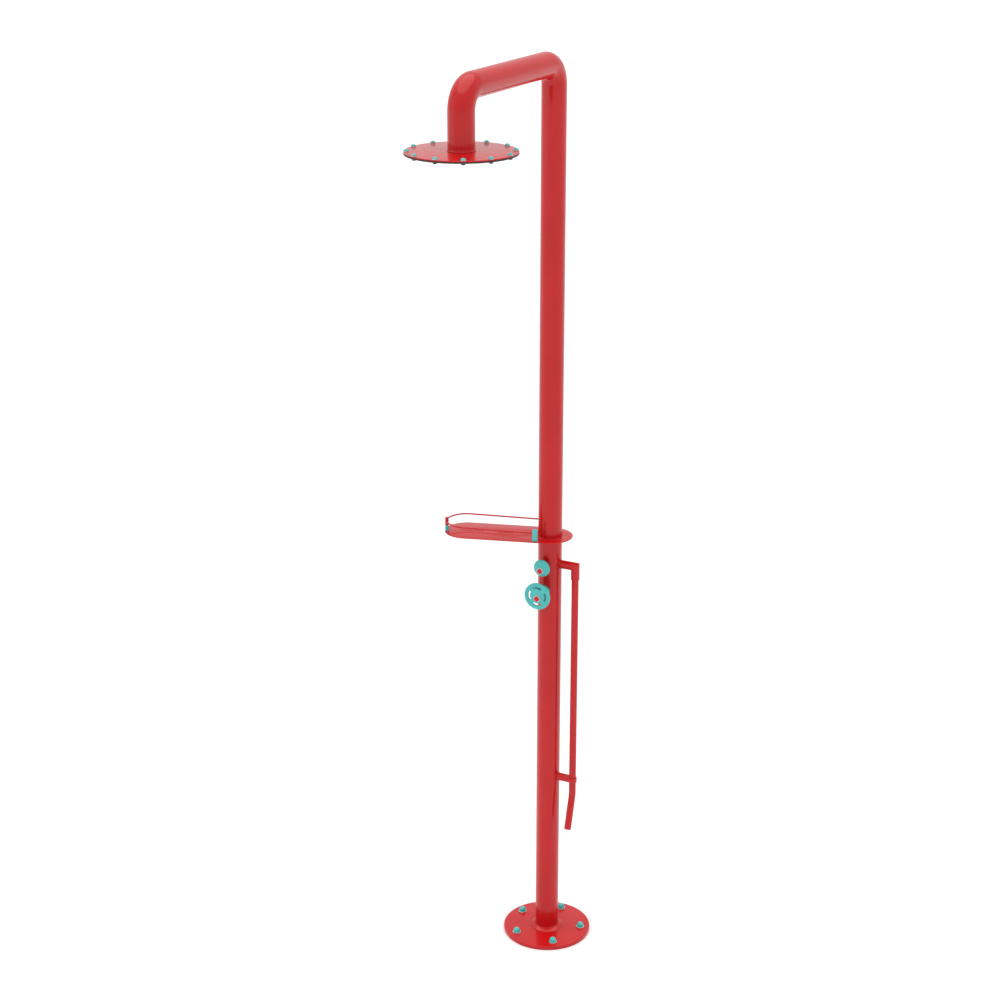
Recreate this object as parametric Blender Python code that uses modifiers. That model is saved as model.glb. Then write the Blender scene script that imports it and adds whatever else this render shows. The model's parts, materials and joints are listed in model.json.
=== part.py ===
"""Emergency drench shower with a shelf and a low side outlet.

Metres, +Z up. The origin is on the floor, at the middle of the base flange.
The arm, the handwheel and the knob point along -Y.
Run with: blender --background --python part.py
"""

import math

import bmesh
import bpy
from mathutils import Quaternion, Vector

# ---------------------------------------------------------------- dimensions
GAP = 0.0003                    # clearance kept between pieces that touch
FRONT = (math.pi / 2, 0.0, 0.0)  # turns a piece's own Z to face the front, -Y
SIDEWAYS = (0.0, math.pi / 2, 0.0)  # turns a piece's own Z to +X

PIPE_RADIUS = 0.03015           # DN 50 pipe
PIPE_WALL = 0.0020
PIPE_BORE = PIPE_RADIUS - PIPE_WALL
BEND_RADIUS = 0.051
ARM_Z = 2.304
ARM_REACH = 0.460
ELBOW_LEAD = 0.004              # straight run at each end of an elbow
ELBOW_REACH = BEND_RADIUS + ELBOW_LEAD
ELBOW_FOOT_Z = ARM_Z - ELBOW_REACH

BASE_RADIUS = 0.115
BASE_THICKNESS = 0.010
COLLAR_RADIUS = 0.043
COLLAR_HEIGHT = 0.006
ANCHOR_COUNT = 5
ANCHOR_CIRCLE = 0.091
ANCHOR_RADIUS = 0.0050
ANCHOR_HOLE = 0.0055
ANCHOR_HEAD_RADIUS = 0.0092
ANCHOR_SHOULDER = 0.0065
ANCHOR_HEAD_HEIGHT = 0.0112
WASHER_RADIUS = 0.0108
WASHER_THICKNESS = 0.0016

HEAD_RADIUS = 0.125
HEAD_UNDERSIDE = 2.1645
SPRAY_PLATE = 0.0015
GASKET = 0.0014
TOP_PLATE = 0.0025
HEAD_TOP = HEAD_UNDERSIDE + SPRAY_PLATE + GASKET + TOP_PLATE + 2 * GAP
HEAD_INLET_RADIUS = 0.020
HEAD_SCREW_COUNT = 12
HEAD_SCREW_CIRCLE = 0.118
HEAD_SCREW_RADIUS = 0.0022
HEAD_SCREW_HOLE = 0.0026
HEAD_SCREW_HEAD = 0.0056
HEAD_SCREW_SHOULDER = 0.0022
HEAD_SCREW_HEIGHT = 0.0050
MAT_RADIUS = 0.1000
MAT_THICKNESS = 0.0010
NOZZLE_RINGS = ((0.0, 1), (0.040, 6), (0.080, 12))
NOZZLE_RADIUS = 0.0030
NOZZLE_BORE = 0.0012
NOZZLE_DROP = 0.0022

SHELF_HEADING = math.radians(197.1)
SHELF_TOP = 1.133
SHELF_THICKNESS = 0.002
SHELF_HALF_WIDTH = 0.057
SHELF_REACH = 0.212             # from the column's axis to the far round end's centre
DRAIN_SLOTS = ((0.095, 0.132), (0.172, 0.229))
DRAIN_HALF_WIDTH = 0.002
SHELF_COLLAR_RADIUS = 0.036
SHELF_COLLAR_HEIGHT = 0.007
RAIL_Z = SHELF_TOP + 0.026
RAIL_DROP = 0.0037              # how much lower the wire's legs start, at the side posts
RAIL_RADIUS = 0.002
RAIL_CLEARANCE = 0.0007
RAIL_HALF_WIDTH = 0.0515
RAIL_POST = (0.013, 0.004, 0.032)
RAIL_POST_AT = 0.031
END_POST_HEIGHT = 0.036
END_POST_TURN = math.radians(14)  # how far round the end the post stands from the middle
END_POST_RADIUS = 0.0045
FERRULE_RADIUS = 0.0049
FERRULE_HEIGHT = 0.015

VALVE_Z = 0.9936                # handwheel axis
FOOT_Z = 1.0605                 # knob axis, and the side outlet's
BODY_RADIUS = 0.025
BODY_BOTTOM = 0.950
BODY_TOP = 1.095
SEAL_LOW = 1.078
SEAL_HIGH = 1.082
CHAMBER_RADIUS = 0.010
CHAMBER_REAR = -0.012
FOOT_CHAMBER_RADIUS = 0.009
FOOT_CHAMBER_REAR = -0.006
INLET_BORE = 0.008
OUTLET_BORE = 0.007
OUTLET_BORE_Y = 0.015
SIDE_PORT = 0.006
BYPASS_BORE = 0.003
BYPASS_X = -0.016
BYPASS_Z = 0.965
SPINDLE_RADIUS = 0.004
SPINDLE_BORE = 0.0044

GATE_RADIUS = 0.0095
GATE_REAR = -0.010
GATE_FRONT = 0.006
GATE_BORE_END = -0.008
BONNET_REAR = 0.0135
BONNET_NECK = 0.0130
BONNET_SHANK = 0.0145
BONNET_FLANGE = 0.0235
BONNET_FRONT = 0.056
BONNET_SETBACK = 0.00045     # from the column's front line to the shank's rear face
NECK_SETBACK = 0.0006           # from the valve body's front line to a bonnet's shoulder
NECK_CLEARANCE = 0.0004
PORT_NEAR = 0.020               # depths between which a hole is cut in one wall of the column
PORT_FAR = 0.040
GLAND_FRONT = 0.061
GLAND_RADIUS = 0.0100
WHEEL_RADIUS = 0.035
WHEEL_PLANE = 0.072
WHEEL_RIM_DEPTH = 0.0074
WHEEL_RIM_INNER = 0.0262
WHEEL_WEB = 0.004
WHEEL_HUB_RADIUS = 0.014
WHEEL_HUB_REAR = 0.0620
WHEEL_HUB_FRONT = 0.0745
WHEEL_SLOT_INNER = 0.0195
WHEEL_SLOT_OUTER = 0.0255
WHEEL_SLOT_SPAN = math.radians(58)
MARK_SIDE = 0.013               # red square marks on the wheel's hub and on the knob
MARK_HEIGHT = 0.0025
WHEEL_MARK_DROP = 0.006
KNOB_MARK_DROP = 0.0045

KNOB_RADIUS = 0.0220
KNOB_REAR = 0.0440
KNOB_EQUATOR = 0.0475
KNOB_FRONT = 0.0575
FOOT_BONNET_REAR = 0.008
FOOT_BONNET_FRONT = 0.0435
FOOT_BONNET_NECK = 0.011
PLUG_RADIUS = 0.0086
PLUG_REAR = -0.0056
PLUG_FRONT = 0.007
PLUG_PORT = 0.005

FOOT_PIPE_X = 0.0709
FOOT_PIPE_RADIUS = 0.0090
FOOT_PIPE_WALL = 0.0016
FOOT_PIPE_TOP = 1.042
FOOT_PIPE_KNEE_Z = 0.420
FOOT_PIPE_END = (-0.0268, 0.330)
FOOT_PIPE_BEND = 0.060
SOCKET_RADIUS = 0.0109
SOCKET_END_Z = 1.0265
BRACKET_Z = 0.463
BRACKET_RADIUS = 0.0102
BRACKET_EYE_RADIUS = 0.0112
BRACKET_EYE_HEIGHT = 0.013
BRACKET_CLEARANCE = 0.0004

INLET_Z = 0.120
INLET_RADIUS = 0.01345
INLET_WALL = 0.0026
INLET_REACH = 0.038
SUPPLY_RADIUS = 0.01065
SUPPLY_WALL = 0.0020
SUPPLY_START_Y = 0.0135
SUPPLY_BEND = 0.0115


# ------------------------------------------------------------------- helpers
def clear_scene():
    for old in list(bpy.data.objects):
        bpy.data.objects.remove(old, do_unlink=True)


def new_collection(name):
    made = bpy.data.collections.new(name)
    bpy.context.scene.collection.children.link(made)
    return made


def principled(name, color, roughness, metallic):
    made = bpy.data.materials.new(name)
    made.use_nodes = True
    made.diffuse_color = (*color, 1.0)
    shader = made.node_tree.nodes["Principled BSDF"]
    shader.inputs["Base Color"].default_value = (*color, 1.0)
    shader.inputs["Roughness"].default_value = roughness
    shader.inputs["Metallic"].default_value = metallic
    return made


def add_object(name, data, material, location, rotation=(0.0, 0.0, 0.0), parent=None):
    made = bpy.data.objects.new(name, data)
    made.location = location
    made.rotation_euler = rotation
    made.parent = parent
    if material is None:
        CUTTERS.objects.link(made)
        made.hide_render = True
        made.display_type = "WIRE"
    else:
        data.materials.append(material)
        PARTS.objects.link(made)
    return made


def add_empty(name, location, rotation=(0.0, 0.0, 0.0)):
    made = bpy.data.objects.new(name, None)
    made.location = location
    made.rotation_euler = rotation
    PARTS.objects.link(made)
    return made


def smooth(mesh):
    mesh.shade_smooth()
    mesh.set_sharp_from_angle(angle=math.radians(40))


def prism_mesh(name, radius, low, high, sides=24):
    """A cylinder or prism along Z, from low to high."""
    shape = bmesh.new()
    bmesh.ops.create_cone(shape, cap_ends=True, segments=sides,
                          radius1=radius, radius2=radius, depth=high - low)
    bmesh.ops.translate(shape, vec=(0.0, 0.0, (low + high) / 2), verts=shape.verts)
    mesh = bpy.data.meshes.new(name)
    shape.to_mesh(mesh)
    shape.free()
    if sides > 6:
        smooth(mesh)
    return mesh


def prism(name, radius, low, high, material, location=(0.0, 0.0, 0.0),
          rotation=(0.0, 0.0, 0.0), parent=None, sides=24):
    mesh = prism_mesh(name, radius, low, high, sides)
    return add_object(name, mesh, material, location, rotation, parent)


def box(name, size, material, location, parent=None):
    shape = bmesh.new()
    bmesh.ops.create_cube(shape, size=1.0)
    bmesh.ops.scale(shape, vec=size, verts=shape.verts)
    mesh = bpy.data.meshes.new(name)
    shape.to_mesh(mesh)
    shape.free()
    return add_object(name, mesh, material, location, parent=parent)


def turned(name, profile, material, location=(0.0, 0.0, 0.0),
           rotation=(0.0, 0.0, 0.0), parent=None, steps=24):
    """A turned solid. The profile's (radius, height) points run down its outer side.

    A profile that starts away from the axis is a closed loop, and makes a ring.
    """
    mesh = bpy.data.meshes.new(name)
    points = [(radius, 0.0, height) for radius, height in profile]
    edges = [(i, i + 1) for i in range(len(points) - 1)]
    if profile[0][0] > 0.0:
        edges.append((len(points) - 1, 0))
    mesh.from_pydata(points, edges, [])
    made = add_object(name, mesh, material, location, rotation, parent)
    screw = made.modifiers.new("turn", "SCREW")
    screw.axis = "Z"
    screw.steps = steps
    screw.render_steps = steps
    screw.use_merge_vertices = True
    screw.merge_threshold = 0.00001
    screw.use_smooth_shade = True
    return made


def ring(name, outer, inner, low, high, material, location=(0.0, 0.0, 0.0),
         rotation=(0.0, 0.0, 0.0), parent=None, steps=24):
    profile = ((outer, high), (outer, low), (inner, low), (inner, high))
    return turned(name, profile, material, location, rotation, parent, steps)


def rounded_path(corners, bend_radius, steps=6):
    """Straight runs between the corners, with an arc at each inner corner."""
    points = [Vector(corners[0])]
    for before, corner, after in zip(corners, corners[1:], corners[2:]):
        corner = Vector(corner)
        way_in = (corner - Vector(before)).normalized()
        way_out = (Vector(after) - corner).normalized()
        turn = way_in.angle(way_out)
        inward = (way_out - way_in).normalized()
        centre = corner + inward * (bend_radius / math.cos(turn / 2))
        spoke = corner - way_in * (bend_radius * math.tan(turn / 2)) - centre
        axis = way_in.cross(way_out)
        for i in range(steps + 1):
            points.append(centre + Quaternion(axis, turn * i / steps) @ spoke)
    points.append(Vector(corners[-1]))
    kept = [points[0]]
    for point in points[1:]:
        if (point - kept[-1]).length > 0.0001:
            kept.append(point)
    return kept


def path_curve(name, points, radius, resolution, caps):
    curve = bpy.data.curves.new(name, "CURVE")
    curve.dimensions = "3D"
    curve.bevel_depth = radius
    curve.bevel_resolution = resolution
    curve.use_fill_caps = caps
    spline = curve.splines.new("POLY")
    spline.points.add(len(points) - 1)
    for place, point in zip(spline.points, points):
        place.co = (*point, 1.0)
    return curve


def tube(name, points, radius, wall, material, resolution=5):
    """A hollow pipe that follows the points."""
    curve = path_curve(name, points, radius, resolution, False)
    add_wall(add_object(name, curve, material, (0.0, 0.0, 0.0)), wall)


def mitred_tube(name, corners, radius, wall, material, sides=24):
    """A hollow pipe with one sharp mitred corner."""
    start, corner, end = [Vector(place) for place in corners]
    way_in = (corner - start).normalized()
    way_out = (end - corner).normalized()
    shape = bmesh.new()
    pose = way_in.to_track_quat("Z", "Y").to_matrix().to_4x4()
    pose.translation = start
    bmesh.ops.create_circle(shape, segments=sides, radius=radius, matrix=pose)
    rim = list(shape.edges)
    for way, goal, normal in ((way_in, corner, way_in + way_out), (way_out, end, way_out)):
        grown = bmesh.ops.extrude_edge_only(shape, edges=rim)["geom"]
        rim = [item for item in grown if isinstance(item, bmesh.types.BMEdge)]
        for vert in [item for item in grown if isinstance(item, bmesh.types.BMVert)]:
            vert.co += way * ((goal - vert.co).dot(normal) / way.dot(normal))
    bmesh.ops.recalc_face_normals(shape, faces=shape.faces)
    mesh = bpy.data.meshes.new(name)
    shape.to_mesh(mesh)
    shape.free()
    smooth(mesh)
    made = add_object(name, mesh, material, (0.0, 0.0, 0.0))
    add_wall(made, wall)


def add_wall(target, wall):
    shell = target.modifiers.new("wall", "SOLIDIFY")
    shell.thickness = wall
    shell.offset = -1.0
    shell.use_even_offset = True


def arc(centre, radius, start, end, steps):
    """Points on an arc in the XY plane."""
    points = []
    for i in range(steps + 1):
        angle = start + (end - start) * i / steps
        points.append((centre + radius * math.cos(angle), radius * math.sin(angle)))
    return points


def stadium(near, far, radius, steps):
    """A slot-shaped outline along X, with its round ends centred at near and far."""
    outline = arc(far, radius, -math.pi / 2, math.pi / 2, steps)
    outline += arc(near, radius, math.pi / 2, 3 * math.pi / 2, steps)
    return outline


def flat_curve(name, outlines, thickness):
    curve = bpy.data.curves.new(name, "CURVE")
    curve.dimensions = "2D"
    curve.fill_mode = "BOTH"
    curve.extrude = thickness / 2
    for outline in outlines:
        spline = curve.splines.new("POLY")
        spline.points.add(len(outline) - 1)
        spline.use_cyclic_u = True
        for place, point in zip(spline.points, outline):
            place.co = (*point, 0.0, 1.0)
    return curve


def mesh_from(source):
    """The welded mesh of a curve object, which is then removed."""
    graph = bpy.context.evaluated_depsgraph_get()
    mesh = bpy.data.meshes.new_from_object(source.evaluated_get(graph))
    bpy.data.objects.remove(source, do_unlink=True)
    shape = bmesh.new()
    shape.from_mesh(mesh)
    bmesh.ops.remove_doubles(shape, verts=shape.verts, dist=0.00001)
    bmesh.ops.recalc_face_normals(shape, faces=shape.faces)
    shape.to_mesh(mesh)
    shape.free()
    return mesh


def flat_mesh(name, outlines, thickness):
    curve = flat_curve(name, outlines, thickness)
    return mesh_from(add_object(name + "_outline", curve, None, (0.0, 0.0, 0.0)))


def combine(target, other, operation):
    step = target.modifiers.new(other.name, "BOOLEAN")
    step.operation = operation
    step.solver = "EXACT"
    step.object = other


def drill(target, name, radius, low, high, location=(0.0, 0.0, 0.0),
          rotation=(0.0, 0.0, 0.0), parent=None, sides=20):
    """A round hole along the cutter's own Z, from low to high."""
    cutter = prism(name, radius, low, high, None, location, rotation, parent, sides)
    combine(target, cutter, "DIFFERENCE")


def drill_circle(target, name, radius, low, high, centre, places, sides):
    """Equal holes at several places, made by one cutter of separate cylinders."""
    shape = bmesh.new()
    for x, y in places:
        hole = bmesh.ops.create_cone(shape, cap_ends=True, segments=sides,
                                     radius1=radius, radius2=radius, depth=high - low)
        bmesh.ops.translate(shape, vec=(x, y, (low + high) / 2), verts=hole["verts"])
    mesh = bpy.data.meshes.new(name)
    shape.to_mesh(mesh)
    shape.free()
    combine(target, add_object(name, mesh, None, centre), "DIFFERENCE")


def circle_places(radius, count, first_angle):
    step = 2 * math.pi / count
    angles = [first_angle + i * step for i in range(count)]
    return [(radius * math.cos(a), radius * math.sin(a)) for a in angles]


def dome_profile(radius, low, high, steps=5):
    """A quarter ellipse from the axis at the top to its full radius at the bottom."""
    points = []
    for i in range(steps + 1):
        angle = math.pi / 2 * (1 - i / steps)
        points.append((radius * math.cos(angle), low + (high - low) * math.sin(angle)))
    points[0] = (0.0, high)
    return points


# -------------------------------------------------------------- base, column
def build_base():
    places = circle_places(ANCHOR_CIRCLE, ANCHOR_COUNT, math.pi / 2)
    base = prism("base_flange", BASE_RADIUS, 0.0, BASE_THICKNESS, RED, sides=48)
    drill_circle(base, "anchor_holes", ANCHOR_HOLE, -0.01, 0.02, (0.0, 0.0, 0.0), places, 12)
    collar_foot = BASE_THICKNESS + GAP
    ring("base_collar", COLLAR_RADIUS, PIPE_RADIUS + GAP, collar_foot,
         collar_foot + COLLAR_HEIGHT, RED)
    head_foot = WASHER_THICKNESS + 2 * GAP
    bolt_profile = [(radius, height + head_foot)
                    for radius, height in dome_profile(ANCHOR_HEAD_RADIUS, ANCHOR_SHOULDER,
                                                   ANCHOR_HEAD_HEIGHT, 3)]
    bolt_profile += [(ANCHOR_HEAD_RADIUS, head_foot), (ANCHOR_RADIUS, head_foot),
                     (ANCHOR_RADIUS, 0.001 - BASE_THICKNESS), (0.0, 0.001 - BASE_THICKNESS)]
    for number, (x, y) in enumerate(places, start=1):
        spot = (x, y, BASE_THICKNESS)
        turned(f"anchor_bolt_{number}", bolt_profile, TEAL, spot, steps=12)
        ring(f"anchor_washer_{number}", WASHER_RADIUS, ANCHOR_HOLE, GAP,
             GAP + WASHER_THICKNESS, STEEL, spot, steps=12)


def build_column():
    column = ring("column_pipe", PIPE_RADIUS, PIPE_BORE, BASE_THICKNESS + GAP,
                  ELBOW_FOOT_Z - GAP, RED)
    drill(column, "bonnet_hole", BONNET_NECK + NECK_CLEARANCE, PORT_NEAR, PORT_FAR,
          (0.0, 0.0, VALVE_Z), FRONT)
    drill(column, "foot_bonnet_hole", FOOT_BONNET_NECK + NECK_CLEARANCE, PORT_NEAR, PORT_FAR,
          (0.0, 0.0, FOOT_Z), FRONT)
    drill(column, "side_outlet_hole", SOCKET_RADIUS + GAP, PORT_NEAR, PORT_FAR,
          (0.0, 0.0, FOOT_Z), SIDEWAYS)
    drill(column, "inlet_hole", INLET_RADIUS + GAP, -PORT_FAR, -PORT_NEAR,
          (0.0, 0.0, INLET_Z), FRONT)


def build_gooseneck():
    corner = (0.0, 0.0, ARM_Z)
    column_top = (0.0, 0.0, ELBOW_FOOT_Z)
    path = rounded_path((column_top, corner, (0.0, -ELBOW_REACH, ARM_Z)), BEND_RADIUS)
    tube("column_elbow", path, PIPE_RADIUS, PIPE_WALL, RED)
    arm_end = ARM_REACH - ELBOW_REACH
    ring("arm_pipe", PIPE_RADIUS, PIPE_BORE, ELBOW_REACH + GAP, arm_end - GAP, RED,
         (0.0, 0.0, ARM_Z), FRONT)
    drop_top = (0.0, -ARM_REACH, ELBOW_FOOT_Z)
    path = rounded_path(((0.0, -arm_end, ARM_Z), (0.0, -ARM_REACH, ARM_Z), drop_top), BEND_RADIUS)
    tube("head_elbow", path, PIPE_RADIUS, PIPE_WALL, RED)
    ring("drop_pipe", PIPE_RADIUS, PIPE_BORE, HEAD_TOP + GAP, ELBOW_FOOT_Z - GAP, RED,
         (0.0, -ARM_REACH, 0.0))


# ----------------------------------------------------------------- the head
def build_head():
    centre = (0.0, -ARM_REACH, HEAD_UNDERSIDE)
    screws = circle_places(HEAD_SCREW_CIRCLE, HEAD_SCREW_COUNT, -math.pi / 2)
    nozzles = []
    for radius, count in NOZZLE_RINGS:
        nozzles += circle_places(radius, count, 0.0)
    low, high = -0.01, 0.02

    spray = prism("spray_plate", HEAD_RADIUS, 0.0, SPRAY_PLATE, DARK_STEEL, centre, sides=48)
    drill_circle(spray, "spray_screw_holes", HEAD_SCREW_HOLE, low, high, centre, screws, 6)
    drill_circle(spray, "nozzle_holes", NOZZLE_RADIUS + GAP, low, high, centre, nozzles, 6)

    gasket_low = SPRAY_PLATE + GAP
    gasket = ring("head_gasket", HEAD_RADIUS - 0.0008, MAT_RADIUS + GAP, gasket_low,
                  gasket_low + GASKET, RUBBER, centre, steps=36)
    drill_circle(gasket, "gasket_screw_holes", HEAD_SCREW_HOLE, low, high, centre, screws, 6)

    mat = prism("nozzle_mat", MAT_RADIUS, gasket_low, gasket_low + MAT_THICKNESS, RUBBER,
                centre, sides=36)
    stems = bmesh.new()
    for x, y in nozzles:
        stem_low, stem_high = -NOZZLE_DROP, gasket_low + MAT_THICKNESS / 2
        stem = bmesh.ops.create_cone(stems, cap_ends=True, segments=6, radius1=NOZZLE_RADIUS,
                                     radius2=NOZZLE_RADIUS, depth=stem_high - stem_low)
        bmesh.ops.translate(stems, vec=(x, y, (stem_low + stem_high) / 2), verts=stem["verts"])
    mesh = bpy.data.meshes.new("nozzle_stems")
    stems.to_mesh(mesh)
    stems.free()
    combine(mat, add_object("nozzle_stems", mesh, None, centre), "UNION")
    drill_circle(mat, "nozzle_bores", NOZZLE_BORE, low, high, centre, nozzles, 4)

    top_low = gasket_low + GASKET + GAP
    top = prism("head_top_plate", HEAD_RADIUS, top_low, top_low + TOP_PLATE, RED, centre, sides=48)
    drill_circle(top, "top_screw_holes", HEAD_SCREW_HOLE, low, high, centre, screws, 6)
    drill_circle(top, "head_inlet", HEAD_INLET_RADIUS, low, high, centre, [(0.0, 0.0)], 24)

    head_foot = top_low + TOP_PLATE + GAP
    profile = [(radius, head_foot + height)
               for radius, height in dome_profile(HEAD_SCREW_HEAD, HEAD_SCREW_SHOULDER, HEAD_SCREW_HEIGHT, 3)]
    profile += [(HEAD_SCREW_HEAD, head_foot), (HEAD_SCREW_RADIUS, head_foot),
                (HEAD_SCREW_RADIUS, -NOZZLE_DROP), (0.0, -NOZZLE_DROP)]
    for number, (x, y) in enumerate(screws, start=1):
        spot = (x, y - ARM_REACH, HEAD_UNDERSIDE)
        turned(f"head_screw_{number:02d}", profile, TEAL, spot, steps=8)


# ------------------------------------------------------------ shelf and rail
def build_shelf():
    shelf = add_empty("shelf_heading", (0.0, 0.0, 0.0), (0.0, 0.0, SHELF_HEADING))
    outlines = [stadium(0.0, SHELF_REACH, SHELF_HALF_WIDTH, 14),
                arc(0.0, PIPE_RADIUS + GAP, 0.0, math.tau * 31 / 32, 31)]
    for near, far in DRAIN_SLOTS:
        outlines.append(stadium(near, far, DRAIN_HALF_WIDTH, 5))
    plate = flat_mesh("shelf_plate", outlines, SHELF_THICKNESS)
    add_object("shelf_plate", plate, RED, (0.0, 0.0, SHELF_TOP - SHELF_THICKNESS / 2), parent=shelf)
    collar_top = SHELF_TOP - SHELF_THICKNESS - GAP
    ring("shelf_collar", SHELF_COLLAR_RADIUS, PIPE_RADIUS + GAP, collar_top - SHELF_COLLAR_HEIGHT,
         collar_top, RED, parent=shelf)

    post_foot = SHELF_TOP + GAP
    for name, side in (("rail_post_near", 1), ("rail_post_far", -1)):
        spot = (RAIL_POST_AT, side * RAIL_HALF_WIDTH, post_foot + RAIL_POST[2] / 2)
        box(name, RAIL_POST, TEAL, spot, shelf)

    leg_start = RAIL_POST_AT + RAIL_POST[0] / 2 + GAP
    route = [(leg_start, -RAIL_HALF_WIDTH)]
    route += arc(SHELF_REACH, RAIL_HALF_WIDTH, -math.pi / 2, math.pi / 2, 14)
    route += [(leg_start, RAIL_HALF_WIDTH)]
    far = SHELF_REACH + RAIL_HALF_WIDTH
    points = [(u, v, RAIL_Z - RAIL_DROP * (far - u) / (far - leg_start)) for u, v in route]
    wire = path_curve("rail_wire", points, RAIL_RADIUS, 2, True)
    add_object("rail_wire", wire, RED, (0.0, 0.0, 0.0), parent=shelf)

    apex = (SHELF_REACH + RAIL_HALF_WIDTH * math.cos(END_POST_TURN),
            RAIL_HALF_WIDTH * math.sin(END_POST_TURN), 0.0)
    ferrule_top = post_foot + FERRULE_HEIGHT
    prism("rail_end_ferrule", FERRULE_RADIUS, post_foot, ferrule_top, TEAL, apex, parent=shelf, sides=20)
    post = prism("rail_end_post", END_POST_RADIUS, ferrule_top + GAP, post_foot + END_POST_HEIGHT, RED,
                 apex, parent=shelf, sides=20)
    across = (apex[0], apex[1], RAIL_Z)
    drill(post, "rail_hole", RAIL_RADIUS + RAIL_CLEARANCE, -0.01, 0.01, across,
          (math.pi / 2, 0.0, END_POST_TURN), shelf, 12)


# ----------------------------------------------------------------- valve set
def build_valve_body():
    body = prism("valve_body", BODY_RADIUS, BODY_BOTTOM, BODY_TOP, BRASS, sides=24)
    drill(body, "shower_chamber", CHAMBER_RADIUS, CHAMBER_REAR, 0.03, (0.0, 0.0, VALVE_Z), FRONT, sides=24)
    drill(body, "foot_chamber", FOOT_CHAMBER_RADIUS, FOOT_CHAMBER_REAR, 0.03,
          (0.0, 0.0, FOOT_Z), FRONT, sides=24)
    drill(body, "inlet_bore", INLET_BORE, BODY_BOTTOM - 0.01, VALVE_Z)
    drill(body, "outlet_bore", OUTLET_BORE, VALVE_Z, BODY_TOP + 0.01, (0.0, OUTLET_BORE_Y, 0.0))
    drill(body, "side_port", SIDE_PORT, 0.0, 0.03, (0.0, 0.0, FOOT_Z), SIDEWAYS, sides=16)
    drill(body, "bypass_feed", BYPASS_BORE, BYPASS_X, 0.0, (0.0, 0.0, BYPASS_Z), SIDEWAYS, sides=8)
    drill(body, "bypass_rise", BYPASS_BORE, BYPASS_Z, FOOT_Z, (BYPASS_X, 0.0, 0.0), sides=8)
    drill(body, "bypass_port", BYPASS_BORE, BYPASS_X, 0.0, (0.0, 0.0, FOOT_Z), SIDEWAYS, sides=8)
    ring("body_seal", PIPE_BORE - GAP, BODY_RADIUS + GAP, SEAL_LOW, SEAL_HIGH, RUBBER)


def build_mark(name, front, drop, axis):
    """A red square stood on its corner, below the axis, that shows how far a handle has turned."""
    low = front + GAP
    prism(name, MARK_SIDE / math.sqrt(2), low, low + MARK_HEIGHT, RED, (0.0, -drop, 0.0),
          parent=axis, sides=4)


def build_shower_valve():
    axis = add_empty("handwheel_axis", (0.0, 0.0, VALVE_Z), FRONT)
    origin = (0.0, 0.0, 0.0)
    turned("shower_gate", ((0.0, GATE_BORE_END), (SPINDLE_BORE, GATE_BORE_END),
                           (SPINDLE_BORE, GATE_FRONT), (GATE_RADIUS, GATE_FRONT),
                           (GATE_RADIUS, GATE_REAR), (0.0, GATE_REAR)),
           BRASS, origin, parent=axis, steps=16)
    shank_rear = PIPE_RADIUS + BONNET_SETBACK
    neck_rear = BODY_RADIUS + NECK_SETBACK
    turned("shower_bonnet", ((SPINDLE_BORE, BONNET_FRONT), (BONNET_FLANGE - 0.0040, BONNET_FRONT),
                             (BONNET_FLANGE, BONNET_FRONT - 0.0015), (BONNET_FLANGE, BONNET_FRONT - 0.0050),
                             (BONNET_SHANK + 0.0025, BONNET_FRONT - 0.0100),
                             (BONNET_SHANK, BONNET_FRONT - 0.0180),
                             (BONNET_SHANK, shank_rear), (BONNET_NECK, shank_rear),
                             (BONNET_NECK, neck_rear), (CHAMBER_RADIUS - GAP, neck_rear),
                             (CHAMBER_RADIUS - GAP, BONNET_REAR), (SPINDLE_BORE, BONNET_REAR)),
           TEAL, origin, parent=axis, steps=20)
    gland = prism("shower_gland_nut", GLAND_RADIUS, BONNET_FRONT + GAP, GLAND_FRONT, BRASS,
                  origin, parent=axis, sides=6)
    drill(gland, "gland_bore", SPINDLE_BORE, 0.05, 0.07, origin, parent=axis, sides=16)
    prism("shower_spindle", SPINDLE_RADIUS, 0.002, WHEEL_HUB_FRONT, STEEL, origin, parent=axis, sides=16)
    build_handwheel(axis)
    build_mark("handwheel_mark", WHEEL_HUB_FRONT, WHEEL_MARK_DROP, axis)


def build_handwheel(axis):
    half_rim = WHEEL_RIM_DEPTH / 2
    half_web = WHEEL_WEB / 2
    rim_front, rim_rear = WHEEL_PLANE + half_rim, WHEEL_PLANE - half_rim
    web_front, web_rear = WHEEL_PLANE + half_web, WHEEL_PLANE - half_web
    edge = 0.0018
    profile = ((SPINDLE_BORE, WHEEL_HUB_FRONT), (WHEEL_HUB_RADIUS, WHEEL_HUB_FRONT),
               (WHEEL_HUB_RADIUS, web_front), (WHEEL_RIM_INNER, web_front),
               (WHEEL_RIM_INNER + edge, rim_front), (WHEEL_RADIUS - edge, rim_front),
               (WHEEL_RADIUS, rim_front - edge), (WHEEL_RADIUS, rim_rear + edge),
               (WHEEL_RADIUS - edge, rim_rear), (WHEEL_RIM_INNER + edge, rim_rear),
               (WHEEL_RIM_INNER, web_rear), (WHEEL_HUB_RADIUS, web_rear),
               (WHEEL_HUB_RADIUS, WHEEL_HUB_REAR), (SPINDLE_BORE, WHEEL_HUB_REAR))
    wheel = turned("handwheel", profile, TEAL, (0.0, 0.0, 0.0), parent=axis, steps=28)
    half_span = WHEEL_SLOT_SPAN / 2
    outline = arc(0.0, WHEEL_SLOT_OUTER, -half_span, half_span, 5)
    outline += arc(0.0, WHEEL_SLOT_INNER, half_span, -half_span, 5)
    slot = flat_mesh("wheel_slot", [outline], 3 * WHEEL_WEB)
    for quarter in range(4):
        turn = (0.0, 0.0, quarter * math.pi / 2)
        cutter = add_object(f"wheel_slot_{quarter + 1}", slot, None, (0.0, 0.0, WHEEL_PLANE), turn, axis)
        combine(wheel, cutter, "DIFFERENCE")


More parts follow.
